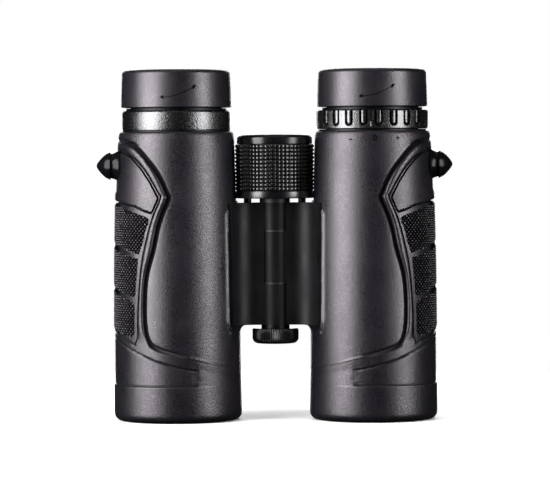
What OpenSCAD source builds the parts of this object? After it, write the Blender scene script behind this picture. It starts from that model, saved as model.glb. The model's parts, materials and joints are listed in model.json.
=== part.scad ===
// Compact roof prism binoculars on one central hinge, standing on the objective rims.
// Millimetres, +Z up towards the eyecups. The hinge axis is x = 0, y = 0.
// side is -1 for the left barrel and 1 for the right barrel, which folds about the hinge.

/* [Overall] */
// Distance from the hinge axis to each barrel axis
barrel_offset = 36; // [35.5:0.5:45]
// Height with both eyecups down
overall_h = 128.5; // [124:0.5:160]
// Radius of the rubber ring around each objective
barrel_r = 23.55; // [22.6:0.05:23.6]

/* [Barrels] */
// Rubber thickness at the objective ring
armor_t = 3.15; // [2.9:0.05:3.6]
// Wall of the cast tube
case_wall = 1.8; // [1.4:0.1:2.2]
// Height of the plain rubber ring around the objective
ring_band_h = 13.3; // [9:0.1:16]
// How far the grip pad wraps around the outer side, in degrees
grip_angle = 116; // [80:1:140]
// Height of the grip pad
grip_h = 48.5; // [38:0.5:52]
// Radius of the rounded strap lug
lug_r = 5.3; // [4.6:0.1:5.6]
// Half the straight length of each strap lug, from front to back
lug_spread = 2.6; // [1.5:0.1:3.5]
// Radius of the hole for the strap cord
strap_hole_r = 1.9; // [1.4:0.1:2.1]

/* [Hinge] */
// Height of the hinge wings
wing_h = 44.9; // [40:0.1:50]
// Thickness of the wings beside the hinge
wing_t = 8; // [7.6:0.1:9]
// Radius of the hinge knuckles
knuckle_r = 5.35; // [5:0.05:6]
// Radius of the hinge shaft
shaft_r = 2.6; // [2.1:0.05:2.8]
// Gap between the wings and the focus wheel
wheel_gap = 1.6; // [1.4:0.1:3]
// Radius of the tripod thread
socket_r = 3.175; // [3:0.005:3.2]
// Outer radius of the cap on the tripod socket
tripod_cap_r = 8.5; // [7:0.1:10]
// Height of the cap on the tripod socket
tripod_cap_h = 5.6; // [5.4:0.1:7]

/* [Focus] */
// Outer radius of the focus wheel
wheel_r = 14.6; // [12:0.1:14.8]
// Height of the focus wheel
wheel_h = 23.4; // [20:0.1:28]
// Half of the focus travel
focus_half = 1.8; // [1:0.1:2]
// Radius of the two focus pins
pin_r = 1.4; // [1.1:0.05:1.6]

/* [Eyepieces] */
// Height of each eyecup
cup_h = 13.9; // [13:0.1:17]
// Radius at the foot of each eyecup
cup_r = 20.3; // [20:0.05:21]
// Height of the ring under each eyecup
ring_h = 7.2; // [6.8:0.1:9]
// Radius of the plain ring under the left eyecup
trim_ring_r = 20; // [19.6:0.05:21]
// Radius of the ribbed diopter ring under the right eyecup
diopter_r = 20.5; // [19.6:0.05:21]
// Number of finger slots around the diopter ring
diopter_slots = 23; // [16:1:30]
// Radius of the clear objective aperture
lens_r = 16.2; // [13:0.1:16.2]

/* [Hidden] */
$fn = 96;
case_r = barrel_r - armor_t;
case_in = case_r - case_wall;
cup_z = overall_h - cup_h;
neck_h = 1.1;
ring_z = cup_z - neck_h - ring_h;
body_top = ring_z - 0.6;
wheel_top = body_top - 1.1;
wheel_z = wheel_top - wheel_h;
wing_top = wheel_z - wheel_gap;
wing_z = wing_top - wing_h;
cap_z = wing_z - 1.3 - tripod_cap_h;
case_z = 1.5;
lug_z = body_top - 12.3;
grip_z = wing_z - 4.2;
gap = 0.3;
run = 0.05;
wing_root = barrel_offset - case_in - 0.4;
saddle_half = 12.6;
washer_t = 0.6;
knuckle_low = wing_z + 0.34 * wing_h;
knuckle_high = wing_z + 0.77 * wing_h;
socket_floor = wing_z + 3.5;
rod_x = max(wheel_r - 4.6, knuckle_r + gap + pin_r + 0.85);
ear_r = pin_r + 0.8;
hub_r = wheel_r - 1.7;
hub_in = hub_r - 0.9;
flange_r = wheel_r - 0.7;
flange_h = 3.6;
screw_r = 4.6;
boss_r = min(screw_r + 2, rod_x - pin_r - gap);
disc_r = rod_x + 0.4;
disc_z = wheel_z + 7.6;
disc_rim = 1.5;
arm_z = wing_z + 6;
arm_h = 4;
yoke_r = case_in - 0.7;
focus_r = 13;
prism_z = body_top - 49.7;
prism_half = 10.6;
housing_r = 17;
housing_in = 15.2;
cell_r = 14.9;
pin_z = ring_z + ring_h / 2;
eye_r = 11.4;

// A plain tube standing at height z
module tube(outer, inner, z, h) {
    translate([0, 0, z])
        difference() {
            cylinder(r = outer, h = h);
            translate([0, 0, -1])
                cylinder(r = inner, h = h + 2);
        }
}

// A lens that bulges on both faces
module convex_lens(r, z, h, low, high) {
    intersection() {
        translate([0, 0, z])
            cylinder(r = r, h = h);
        translate([0, 0, z + low])
            sphere(r = low, $fn = 240);
        translate([0, 0, z + h - high])
            sphere(r = high, $fn = 240);
    }
}

// The hinge wing: flat beside the hinge, then swept out to the tube on both faces
module wing(side) {
    half = wing_t / 2;
    sweep_r = saddle_half - 0.3 - half;
    sweep_x = wing_root - sweep_r - 1.6;
    translate([side * wing_root / 2, 0, wing_z + wing_h / 2])
        cube([wing_root, wing_t, wing_h], center = true);
    difference() {
        translate([side * (sweep_x + wing_root) / 2, 0, wing_z + wing_h / 2])
            cube([wing_root - sweep_x, 2 * (saddle_half - 0.3), wing_h], center = true);
        for (face = [-1, 1])
            translate([side * sweep_x, face * (half + sweep_r), wing_z - 1])
                cylinder(r = sweep_r, h = wing_h + 2);
    }
}

module knuckle(z0, z1) {
    translate([0, 0, z0])
        cylinder(r = knuckle_r, h = z1 - z0);
}

// Clearance for the knuckles of the other barrel
module knuckle_room(z0, z1) {
    translate([0, 0, z0])
        cylinder(r = knuckle_r + gap, h = z1 - z0);
}

// The casting's outside: tube, saddle and wing
module case_solid(side) {
    translate([side * barrel_offset, 0, case_z])
        cylinder(r = case_r, h = body_top - case_z);
    intersection() {
        translate([side * barrel_offset, 0, wing_z])
            cylinder(r = case_r + 2, h = wing_h);
        translate([side * barrel_offset / 2 - barrel_offset / 2, -saddle_half, wing_z])
            cube([barrel_offset, 2 * saddle_half, wing_h]);
    }
    wing(side);
}

// Everything hollow in the casting: bore, pin bore and the slot the focus yoke moves in
module case_hollow(side) {
    slot_z = arm_z - focus_half - 0.4;
    slot_h = arm_h + 2 * focus_half + 0.8;
    translate([side * barrel_offset, 0, 0])
        cylinder(r = case_in, h = overall_h);
    translate([side * rod_x, 0, slot_z])
        cylinder(r = pin_r + run, h = wing_top - slot_z + 1);
    translate([side * rod_x, 0, slot_z])
        cylinder(r = pin_r + 1.5, h = slot_h);
    translate([side * (rod_x + wing_root + 3) / 2, 0, slot_z + slot_h / 2])
        cube([wing_root + 3 - rod_x, 3.8, slot_h], center = true);
}

module left_case() {
    color([0.05, 0.05, 0.06])
        difference() {
            union() {
                difference() {
                    case_solid(-1);
                    knuckle_room(knuckle_low - washer_t / 2, knuckle_high + washer_t / 2);
                }
                knuckle(wing_z, knuckle_low - washer_t / 2);
                knuckle(knuckle_high + washer_t / 2, wing_top);
            }
            case_hollow(-1);
            translate([0, 0, wing_z - 1])
                cylinder(r = shaft_r, h = wing_h + 2);
            translate([0, 0, wing_z - 1])
                cylinder(r = knuckle_r - 1.15, h = socket_floor - wing_z + 1);
        }
}

module right_case() {
    color([0.05, 0.05, 0.06])
        difference() {
            union() {
                difference() {
                    case_solid(1);
                    knuckle_room(wing_z - 1, knuckle_low + washer_t / 2 + run);
                    knuckle_room(knuckle_high - washer_t / 2 - run, wing_top + 1);
                }
                knuckle(knuckle_low + washer_t / 2 + run, knuckle_high - washer_t / 2 - run);
            }
            case_hollow(1);
            translate([0, 0, wing_z - 1])
                cylinder(r = shaft_r + run, h = wing_h + 2);
        }
}

// The rubber sleeve in section, from the objective lip to the shoulder
module armor_section() {
    polygon([
        [case_in - 1.1, 0],
        [barrel_r - 2, 0],
        [barrel_r - 0.6, 0.6],
        [barrel_r, 2],
        [barrel_r, ring_band_h - 0.2],
        [barrel_r - 0.45, ring_band_h],
        [barrel_r - 0.45, wing_z],
        [barrel_r - 0.65, wing_z + 23],
        [barrel_r - 1.3, lug_z - 6],
        [barrel_r - 2.05, body_top - 3.2],
        [barrel_r - 2.65, body_top],
        [case_r, body_top],
        [case_r, case_z],
        [case_in - 1.1, case_z]
    ]);
}

// The band the grip pad fills. edge is how far it reaches out
module grip_section(edge) {
    polygon([
        [barrel_r - 1.4, grip_z],
        [barrel_r + 0.05 + edge, grip_z],
        [barrel_r + 0.05 + edge, grip_z + 0.18 * grip_h],
        [barrel_r - 0.15 + edge, grip_z + 0.55 * grip_h],
        [barrel_r - 0.6 + edge, grip_z + grip_h],
        [barrel_r - 1.6, grip_z + grip_h]
    ]);
}

module grip_band(side, edge) {
    translate([side * barrel_offset, 0, 0])
        rotate([0, 0, 90 - 90 * side - grip_angle / 2])
            rotate_extrude(angle = grip_angle)
                grip_section(edge);
}

module armor(side) {
    color([0.12, 0.115, 0.12])
        difference() {
            translate([side * barrel_offset, 0, 0])
                rotate_extrude()
                    armor_section();
            grip_band(side, 3);
            translate([side * barrel_offset / 2 - barrel_offset / 2, -saddle_half, wing_z])
                cube([barrel_offset, 2 * saddle_half, wing_h]);
            translate([0, 0, wheel_z - 0.8])
                cylinder(r = wheel_r + 0.7, h = wheel_h + 10);
            translate([side * barrel_offset, 0, lug_z])
                rotate([0, 90 * side, 0])
                    lug_section(lug_r + 0.9, barrel_r + 5);
        }
}

module left_armor() {
    armor(-1);
}

module right_armor() {
    armor(1);
}

module left_grip() {
    color([0.09, 0.085, 0.09])
        grip_band(-1, 0);
}

module right_grip() {
    color([0.09, 0.085, 0.09])
        grip_band(1, 0);
}

// A bar with round ends that lies across the tube, r thick each way and h tall
module lug_section(r, h) {
    translate([-r, -lug_spread, 0])
        cube([2 * r, 2 * lug_spread, h]);
    for (end = [-1, 1])
        translate([0, end * lug_spread, 0])
            cylinder(r = r, h = h);
}

module lug_head(head) {
    for (end = [-1, 1])
        translate([0, end * lug_spread, head])
            sphere(r = lug_r);
    translate([0, 0, head])
        rotate([90, 0, 0])
            cylinder(r = lug_r - 0.03, h = 2 * lug_spread, center = true);
}

// A rounded lug that stands out sideways, drilled along z for the strap cord
module strap_lug(side) {
    head = 24.1 + barrel_r - 23.55;
    color([0.07, 0.07, 0.075])
        translate([side * barrel_offset, 0, lug_z])
            difference() {
                rotate([0, 90 * side, 0])
                    union() {
                        lug_section(lug_r + 0.9, head - 1.7);
                        lug_section(lug_r - 0.7, head);
                        intersection() {
                            lug_head(head);
                            translate([-lug_r - 1, -2 * lug_r, head - 1.2])
                                cube([2 * lug_r + 2, 4 * lug_r, lug_r + 3]);
                        }
                    }
                translate([0, 0, -lug_r - 5])
                    cylinder(r = case_r, h = 2 * lug_r + 10);
                translate([side * (head + 1.8), 0, -lug_r - 1])
                    cylinder(r = strap_hole_r, h = 2 * lug_r + 2);
            }
}

module left_strap_lug() {
    strap_lug(-1);
}

module right_strap_lug() {
    strap_lug(1);
}

// The ring that holds the two objective elements, with a groove for its seal
module objective_cell(side) {
    color([0.06, 0.06, 0.065])
        translate([side * barrel_offset, 0, 0])
            rotate_extrude()
                polygon([
                    [lens_r, 6],
                    [case_in, 6],
                    [case_in, 18.5],
                    [case_in - 1, 18.5],
                    [case_in - 1, 19.5],
                    [case_in, 19.5],
                    [case_in, 22],
                    [lens_r - 1.2, 22],
                    [lens_r - 1.2, 16],
                    [lens_r, 16]
                ]);
}

module left_objective_cell() {
    objective_cell(-1);
}

module right_objective_cell() {
    objective_cell(1);
}

module objective_crown(side) {
    color([0.75, 0.85, 0.95, 0.4])
        translate([side * barrel_offset, 0, 0])
            convex_lens(lens_r, 9, 5, 80, 70);
}

module left_objective_crown() {
    objective_crown(-1);
}

module right_objective_crown() {
    objective_crown(1);
}

module objective_flint(side) {
    color([0.75, 0.85, 0.95, 0.4])
        translate([side * barrel_offset, 0, 0])
            difference() {
                translate([0, 0, 11.8])
                    cylinder(r = lens_r, h = 4.2);
                translate([0, 0, -56])
                    sphere(r = 70.3, $fn = 240);
            }
}

module left_objective_flint() {
    objective_flint(-1);
}

module right_objective_flint() {
    objective_flint(1);
}

module objective_retainer(side) {
    color([0.06, 0.06, 0.065])
        translate([side * barrel_offset, 0, 0])
            tube(lens_r, lens_r - 1.4, 7.6, 2.7);
}

module left_objective_retainer() {
    objective_retainer(-1);
}

module right_objective_retainer() {
    objective_retainer(1);
}

module objective_seal(side) {
    color([0.03, 0.03, 0.03])
        translate([side * barrel_offset, 0, 19])
            rotate_extrude()
                translate([case_in - 0.5, 0])
                    circle(r = 0.5);
}

module left_objective_seal() {
    objective_seal(-1);
}

module right_objective_seal() {
    objective_seal(1);
}

// The sliding ring behind the objective, with an arm to its focus pin
module focus_yoke(side) {
    color([0.3, 0.3, 0.32])
        difference() {
            union() {
                translate([side * barrel_offset, 0, arm_z - 2.5])
                    cylinder(r = yoke_r, h = 8);
                translate([side * rod_x, 0, arm_z])
                    cylinder(r = ear_r, h = arm_h);
                translate([side * (rod_x + barrel_offset - focus_r - 1) / 2, 0, arm_z + arm_h / 2])
                    cube([barrel_offset - focus_r - 1 - rod_x, 3, arm_h], center = true);
            }
            translate([side * barrel_offset, 0, arm_z - 4])
                cylinder(r = focus_r, h = 12);
            translate([side * rod_x, 0, arm_z - 1])
                cylinder(r = pin_r, h = arm_h + 2);
        }
}

module left_focus_yoke() {
    focus_yoke(-1);
}

module right_focus_yoke() {
    focus_yoke(1);
}

// The concave lens that moves to focus
module focus_lens(side) {
    color([0.75, 0.85, 0.95, 0.4])
        translate([side * barrel_offset, 0, arm_z + 1.5])
            difference() {
                translate([0, 0, -3])
                    cylinder(r = focus_r, h = 6);
                translate([0, 0, 61])
                    sphere(r = 60, $fn = 240);
                translate([0, 0, -61])
                    sphere(r = 60, $fn = 240);
            }
}

module left_focus_lens() {
    focus_lens(-1);
}

module right_focus_lens() {
    focus_lens(1);
}

// The pin from the yoke up into the wheel. depth is how far the disc reaches into it
module focus_rod(side, depth) {
    color([0.55, 0.55, 0.57])
        difference() {
            translate([side * rod_x, 0, arm_z])
                cylinder(r = pin_r, h = disc_z + disc_rim + 2 - arm_z);
            translate([side * (rod_x - pin_r - 1 + depth / 2), 0, disc_z + disc_rim / 2])
                cube([2 + depth, 4 * pin_r, disc_rim + 2 * gap], center = true);
        }
}

module left_focus_rod() {
    focus_rod(-1, 1);
}

module right_focus_rod() {
    focus_rod(1, pin_r + 0.7);
}

// The holder the two prisms are glued into, open at both ends for the light
module prism_cage(side) {
    color([0.2, 0.2, 0.21])
        translate([side * barrel_offset, 0, prism_z])
            difference() {
                translate([0, 0, -3])
                    cylinder(r = case_in, h = 36);
                translate([-12.8, -prism_half, -1])
                    cube([27, 2 * prism_half, 32]);
                translate([0, 0, -4])
                    cylinder(r = 10, h = 40);
            }
}

module left_prism_cage() {
    prism_cage(-1);
}

module right_prism_cage() {
    prism_cage(1);
}

module half_penta(side) {
    color([0.8, 0.88, 0.95, 0.4])
        translate([side * barrel_offset, 0, prism_z])
            rotate([90, 0, 0])
                linear_extrude(height = 2 * prism_half, center = true)
                    polygon([[-11.6, 0], [9.5, 0], [13.5, 9.66], [13.5, 25.1]]);
}

module left_half_penta_prism() {
    half_penta(-1);
}

module right_half_penta_prism() {
    half_penta(1);
}

// The second prism, with its two roof faces meeting on the sloping back edge
module roof_prism(side) {
    color([0.8, 0.88, 0.95, 0.4])
        translate([side * barrel_offset, 0, prism_z])
            intersection() {
                rotate([90, 0, 0])
                    linear_extrude(height = 2 * prism_half, center = true)
                        polygon([[-12.1, 30], [-3.3, 8.8], [13.5, 25.6], [13.5, 30]]);
                translate([-12.1, 0, 30])
                    rotate([0, 157.5, 0])
                        rotate([0, 0, 135])
                            translate([0, 0, -30])
                                cube([60, 60, 90]);
            }
}

module left_roof_prism() {
    roof_prism(-1);
}

module right_roof_prism() {
    roof_prism(1);
}

// The fixed tube each eyecup rides on
module housing_section() {
    polygon([
        [housing_in, body_top - 7.7],
        [case_in, body_top - 7.7],
        [case_in, body_top],
        [case_r - 0.6, body_top],
        [case_r - 0.6, ring_z],
        [housing_r, ring_z],
        [housing_r, ring_z + ring_h],
        [housing_r + 1.45, ring_z + ring_h],
        [housing_r + 1.45, cup_z - gap],
        [housing_r, cup_z - gap],
        [housing_r, overall_h - 4.3],
        [housing_in, overall_h - 4.3]
    ]);
}

module left_eyepiece_housing() {
    color([0.05, 0.05, 0.055])
        translate([-barrel_offset, 0, 0])
            rotate_extrude()
                housing_section();
}

module right_eyepiece_housing() {
    color([0.05, 0.05, 0.055])
        translate([barrel_offset, 0, 0])
            difference() {
                rotate_extrude()
                    housing_section();
                translate([0, housing_r, pin_z])
                    cube([3, 8, 4.6], center = true);
            }
}

// The inner barrel that holds the field lens and the eye lens
module ocular_section(outer) {
    polygon([
        [12.3, body_top - 6.7],
        [outer, body_top - 6.7],
        [outer, overall_h - 6.9],
        [eye_r, overall_h - 6.9],
        [eye_r, overall_h - 13.1],
        [10.4, overall_h - 13.1],
        [10.4, body_top - 0.5],
        [12.3, body_top - 0.5]
    ]);
}

module left_ocular_cell() {
    color([0.1, 0.1, 0.11])
        translate([-barrel_offset, 0, 0])
            rotate_extrude()
                ocular_section(housing_in);
}

module right_ocular_cell() {
    color([0.1, 0.1, 0.11])
        translate([barrel_offset, 0, 0])
            difference() {
                rotate_extrude()
                    ocular_section(cell_r);
                translate([0, cell_r - 1, pin_z])
                    rotate([-90, 0, 0])
                        cylinder(r = 1.2, h = 6);
            }
}

module field_lens(side) {
    color([0.75, 0.85, 0.95, 0.4])
        translate([side * barrel_offset, 0, 0])
            convex_lens(12.3, body_top - 5.4, 4.9, 60, 50);
}

module left_field_lens() {
    field_lens(-1);
}

module right_field_lens() {
    field_lens(1);
}

module eye_lens(side) {
    color([0.7, 0.82, 0.9, 0.4])
        translate([side * barrel_offset, 0, 0])
            convex_lens(eye_r, overall_h - 13.1, 5.2, 70, 40);
}

module left_eye_lens() {
    eye_lens(-1);
}

module right_eye_lens() {
    eye_lens(1);
}

module left_trim_ring() {
    color([0.55, 0.55, 0.57])
        translate([-barrel_offset, 0, ring_z])
            rotate_extrude()
                polygon([
                    [housing_r, 0],
                    [trim_ring_r - 0.3, 0],
                    [trim_ring_r, 0.3],
                    [trim_ring_r, ring_h - 0.4],
                    [trim_ring_r - 0.4, ring_h],
                    [housing_r, ring_h]
                ]);
}

// The ring that turns to shift the right eyepiece, with finger slots open at the top
module diopter_ring() {
    slot_w = 2.4;
    color([0.35, 0.35, 0.37])
        translate([barrel_offset, 0, ring_z])
            difference() {
                rotate_extrude()
                    polygon([
                        [housing_r + gap, 0.15],
                        [diopter_r - 0.3, 0.15],
                        [diopter_r, 0.45],
                        [diopter_r, ring_h - 0.55],
                        [diopter_r - 0.4, ring_h - 0.15],
                        [housing_r + gap, ring_h - 0.15],
                        [housing_r + gap, ring_h / 2 + 2.3],
                        [housing_r + 1.6, ring_h / 2 + 2.3],
                        [housing_r + 1.6, ring_h / 2 - 2.3],
                        [housing_r + gap, ring_h / 2 - 2.3]
                    ]);
                for (i = [0:diopter_slots - 1])
                    rotate([0, 0, -90 + i * 360 / diopter_slots])
                        translate([diopter_r - 0.5, -slot_w / 2, 1.6])
                            cube([2, slot_w, ring_h]);
            }
}

// The pin on the ocular barrel that runs in the diopter ring's groove
module diopter_pin() {
    color([0.6, 0.6, 0.62])
        translate([barrel_offset, cell_r - 1, pin_z])
            rotate([-90, 0, 0])
                cylinder(r = 1.2, h = housing_r + 1.3 - cell_r + 1);
}

module eyecup_lift(side) {
    color([0.08, 0.08, 0.085])
        translate([side * barrel_offset, 0, 0])
            tube(housing_r + 1, housing_r + gap, cup_z + gap, cup_h - 5.4);
}

module left_eyecup_lift() {
    eyecup_lift(-1);
}

module right_eyecup_lift() {
    eyecup_lift(1);
}

module eyecup_core(side) {
    color([0.06, 0.06, 0.065])
        translate([side * barrel_offset, 0, cup_z])
            rotate_extrude()
                polygon([
                    [housing_r + 1.3, 0.6],
                    [cup_r - 1.1, 0.6],
                    [cup_r - 1.1, cup_h - 1.9],
                    [cup_r - 4.9, cup_h - 1.9],
                    [cup_r - 4.9, cup_h - 3.6],
                    [housing_r + 1.3, cup_h - 3.6]
                ]);
}

module left_eyecup_core() {
    eyecup_core(-1);
}

module right_eyecup_core() {
    eyecup_core(1);
}

// The rubber over the eyecup core, rolled inward at the rim
module eyecup_skin(side) {
    color([0.11, 0.105, 0.11])
        translate([side * barrel_offset, 0, cup_z])
            rotate_extrude()
                polygon([
                    [cup_r - 1.1, 0],
                    [cup_r - 0.3, 0],
                    [cup_r, 0.3],
                    [cup_r - 0.35, cup_h - 1.7],
                    [cup_r - 0.9, cup_h - 0.5],
                    [cup_r - 2.1, cup_h],
                    [cup_r - 4.3, cup_h],
                    [cup_r - 5.4, cup_h - 0.7],
                    [cup_r - 5.7, cup_h - 1.8],
                    [cup_r - 5.7, cup_h - 3.6],
                    [cup_r - 4.9, cup_h - 3.6],
                    [cup_r - 4.9, cup_h - 1.9],
                    [cup_r - 1.1, cup_h - 1.9]
                ]);
}

module left_eyecup_skin() {
    eyecup_skin(-1);
}

module right_eyecup_skin() {
    eyecup_skin(1);
}

module hinge_shaft() {
    color([0.6, 0.6, 0.62])
        translate([0, 0, socket_floor])
            cylinder(r = shaft_r, h = wheel_top - 1.3 - socket_floor);
}

module hinge_washer_low() {
    color([0.7, 0.6, 0.35])
        tube(knuckle_r - 0.35, shaft_r, knuckle_low - washer_t / 2, washer_t);
}

module hinge_washer_high() {
    color([0.7, 0.6, 0.35])
        tube(knuckle_r - 0.35, shaft_r, knuckle_high - washer_t / 2, washer_t);
}

module wheel_washer() {
    color([0.7, 0.6, 0.35])
        tube(knuckle_r + 0.25, shaft_r, wing_top, wheel_gap - 0.1);
}

module shaft_nut() {
    color([0.6, 0.6, 0.62])
        difference() {
            translate([0, 0, wheel_top - flange_h + 0.2])
                cylinder(r = 4.6, h = 2, $fn = 6);
            translate([0, 0, wheel_top - flange_h - 1])
                cylinder(r = shaft_r, h = 5);
        }
}

// The screw inside the wheel, with rings standing in for its thread
module focus_screw() {
    turns = 5;
    pitch = 3;
    color([0.72, 0.6, 0.35])
        difference() {
            tube(screw_r, shaft_r + run, wheel_z + 0.1, wheel_h - flange_h - 0.1);
            for (i = [0:turns - 1])
                tube(screw_r + 1, screw_r - 0.4, wheel_z + 2 + i * pitch, 1.4);
        }
}

// The disc the screw lifts. Its rim sits in the notches of both focus pins
module focus_disc() {
    color([0.5, 0.5, 0.52])
        difference() {
            union() {
                tube(disc_r, screw_r + gap, disc_z, disc_rim);
                tube(boss_r, screw_r + gap, disc_z - 0.8, disc_rim + 1.6);
            }
            translate([-rod_x - 4 + 0.7, -pin_r - 0.4, disc_z - 1])
                cube([4, 2 * pin_r + 0.8, disc_rim + 2]);
        }
}

module wheel_hub() {
    color([0.05, 0.05, 0.055])
        rotate_extrude()
            polygon([
                [hub_in, wheel_z],
                [hub_r, wheel_z],
                [hub_r, wheel_top - flange_h],
                [flange_r, wheel_top - flange_h],
                [flange_r, wheel_top - 0.8],
                [flange_r - 0.8, wheel_top],
                [hub_r - 1.9, wheel_top],
                [hub_r - 1.9, wheel_top - 1],
                [5.5, wheel_top - 1],
                [5.5, wheel_top - flange_h],
                [screw_r, wheel_top - flange_h],
                [screw_r, wheel_top - flange_h - 2.4],
                [hub_in, wheel_top - flange_h - 2.4]
            ]);
}

// The grip around the wheel: a smooth foot and a ribbed band above it
module wheel_grip() {
    rows = 12;
    foot = 3;
    pitch = (wheel_h - flange_h - foot) / rows;
    color([0.07, 0.07, 0.075])
        difference() {
            tube(wheel_r, hub_r, wheel_z, wheel_h - flange_h);
            tube(wheel_r + 1, wheel_r - 0.2, wheel_z - 1, foot + 1);
            for (i = [0:rows - 1])
                tube(wheel_r + 1, wheel_r - 0.45, wheel_z + foot + i * pitch, 0.35);
        }
}

module wheel_cap() {
    color([0.05, 0.05, 0.055])
        translate([0, 0, wheel_top - 1])
            cylinder(r = hub_r - 1.9, h = 0.8);
}

// The threaded boss under the hinge, open downward
module tripod_socket() {
    color([0.6, 0.5, 0.3])
        rotate_extrude()
            polygon([
                [socket_r, cap_z + 0.95],
                [knuckle_r - 0.15, cap_z + 0.95],
                [knuckle_r - 0.15, wing_z],
                [knuckle_r - 1.15, wing_z],
                [knuckle_r - 1.15, socket_floor],
                [0, socket_floor],
                [0, socket_floor - 1.45],
                [socket_r, socket_floor - 1.45]
            ]);
}

module tripod_cap() {
    color([0.06, 0.06, 0.065])
        rotate_extrude()
            polygon([
                [0, cap_z],
                [tripod_cap_r - 1.9, cap_z],
                [tripod_cap_r - 0.6, cap_z + 0.6],
                [tripod_cap_r, cap_z + 1.8],
                [tripod_cap_r, cap_z + tripod_cap_h - 0.7],
                [tripod_cap_r - 0.7, cap_z + tripod_cap_h],
                [knuckle_r + 0.15, cap_z + tripod_cap_h],
                [knuckle_r + 0.15, cap_z + 0.8],
                [0, cap_z + 0.8]
            ]);
}

left_case();
left_armor();
left_grip();
left_strap_lug();
left_objective_cell();
left_objective_crown();
left_objective_flint();
left_objective_retainer();
left_objective_seal();
left_focus_yoke();
left_focus_lens();
left_focus_rod();
left_prism_cage();
left_half_penta_prism();
left_roof_prism();
left_eyepiece_housing();
left_ocular_cell();
left_field_lens();
left_eye_lens();
left_trim_ring();
left_eyecup_lift();
left_eyecup_core();
left_eyecup_skin();
right_case();
right_armor();
right_grip();
right_strap_lug();
right_objective_cell();
right_objective_crown();
right_objective_flint();
right_objective_retainer();
right_objective_seal();
right_focus_yoke();
right_focus_lens();
right_focus_rod();
right_prism_cage();
right_half_penta_prism();
right_roof_prism();
right_eyepiece_housing();
right_ocular_cell();
right_field_lens();
right_eye_lens();
diopter_ring();
diopter_pin();
right_eyecup_lift();
right_eyecup_core();
right_eyecup_skin();
hinge_shaft();
hinge_washer_low();
hinge_washer_high();
wheel_washer();
shaft_nut();
focus_screw();
focus_disc();
wheel_hub();
wheel_grip();
wheel_cap();
tripod_socket();
tripod_cap();
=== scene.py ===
import bpy
import json
import math
import numpy as np
from mathutils import Matrix, Vector


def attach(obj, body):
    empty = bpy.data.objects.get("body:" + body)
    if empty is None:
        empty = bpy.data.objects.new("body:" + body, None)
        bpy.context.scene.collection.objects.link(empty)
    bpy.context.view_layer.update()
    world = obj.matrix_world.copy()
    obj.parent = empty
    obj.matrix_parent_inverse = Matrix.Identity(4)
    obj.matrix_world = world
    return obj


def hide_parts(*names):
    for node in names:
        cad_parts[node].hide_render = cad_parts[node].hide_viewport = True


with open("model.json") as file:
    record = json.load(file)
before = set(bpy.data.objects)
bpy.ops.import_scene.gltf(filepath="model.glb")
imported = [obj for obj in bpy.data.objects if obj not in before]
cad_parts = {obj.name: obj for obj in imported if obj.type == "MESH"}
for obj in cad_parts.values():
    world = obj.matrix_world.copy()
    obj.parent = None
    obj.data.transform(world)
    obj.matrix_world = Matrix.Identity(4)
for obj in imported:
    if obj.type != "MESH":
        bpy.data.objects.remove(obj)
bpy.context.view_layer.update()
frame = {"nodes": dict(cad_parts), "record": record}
print("frame loaded:", len(frame["nodes"]), "nodes")

mm = 0.001
barrelX = {"left": -36.0, "right": 36.0}
outward = {"left": -1.0, "right": 1.0}


# materials
def newMaterial(name):
    mat = bpy.data.materials.new(name)
    mat.use_nodes = True
    nodes = mat.node_tree.nodes
    shader = nodes["Principled BSDF"]
    coords = nodes.new("ShaderNodeTexCoord")
    return mat, nodes, mat.node_tree.links, shader, coords.outputs["Object"]


def noiseNode(nodes, links, coords, scale, detail=3.0, rough=0.5, stretch=None):
    noise = nodes.new("ShaderNodeTexNoise")
    noise.inputs["Scale"].default_value = scale
    noise.inputs["Detail"].default_value = detail
    noise.inputs["Roughness"].default_value = rough
    if stretch:
        mapping = nodes.new("ShaderNodeMapping")
        mapping.inputs["Scale"].default_value = stretch
        links.new(coords, mapping.inputs["Vector"])
        coords = mapping.outputs["Vector"]
    links.new(coords, noise.inputs["Vector"])
    return noise.outputs["Fac"]


def rampNode(nodes, links, fac, low, high, start=0.3, end=0.7):
    ramp = nodes.new("ShaderNodeValToRGB")
    ramp.color_ramp.elements[0].color = (*low, 1)
    ramp.color_ramp.elements[1].color = (*high, 1)
    links.new(rangeNode(nodes, links, fac, 0, 1, start, end), ramp.inputs["Fac"])
    return ramp.outputs["Color"]


def rangeNode(nodes, links, fac, low, high, start=0.3, end=0.7):
    span = nodes.new("ShaderNodeMapRange")
    span.inputs["From Min"].default_value = start
    span.inputs["From Max"].default_value = end
    span.inputs["To Min"].default_value = low
    span.inputs["To Max"].default_value = high
    links.new(fac, span.inputs["Value"])
    return span.outputs["Result"]


def bumpNode(nodes, links, height, strength, distance, under=None):
    bump = nodes.new("ShaderNodeBump")
    bump.inputs["Strength"].default_value = strength
    bump.inputs["Distance"].default_value = distance
    links.new(height, bump.inputs["Height"])
    if under:
        links.new(under, bump.inputs["Normal"])
    return bump.outputs["Normal"]


def hollowFactor(nodes):
    # painted shade, laid on by the pieces that have grooves: 1 at the foot of a groove, 0 on the surface; the
    # printed marks carry a full 1 as their own dark print
    hollow = nodes.new("ShaderNodeAttribute")
    hollow.attribute_name = "hollow"
    return hollow.outputs["Fac"]


def mathNode(nodes, links, operation, first, second):
    node = nodes.new("ShaderNodeMath")
    node.operation = operation
    for socket, value in zip(node.inputs, (first, second)):
        if isinstance(value, (int, float)):
            socket.default_value = value
        else:
            links.new(value, socket)
    return node.outputs["Value"]


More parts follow.
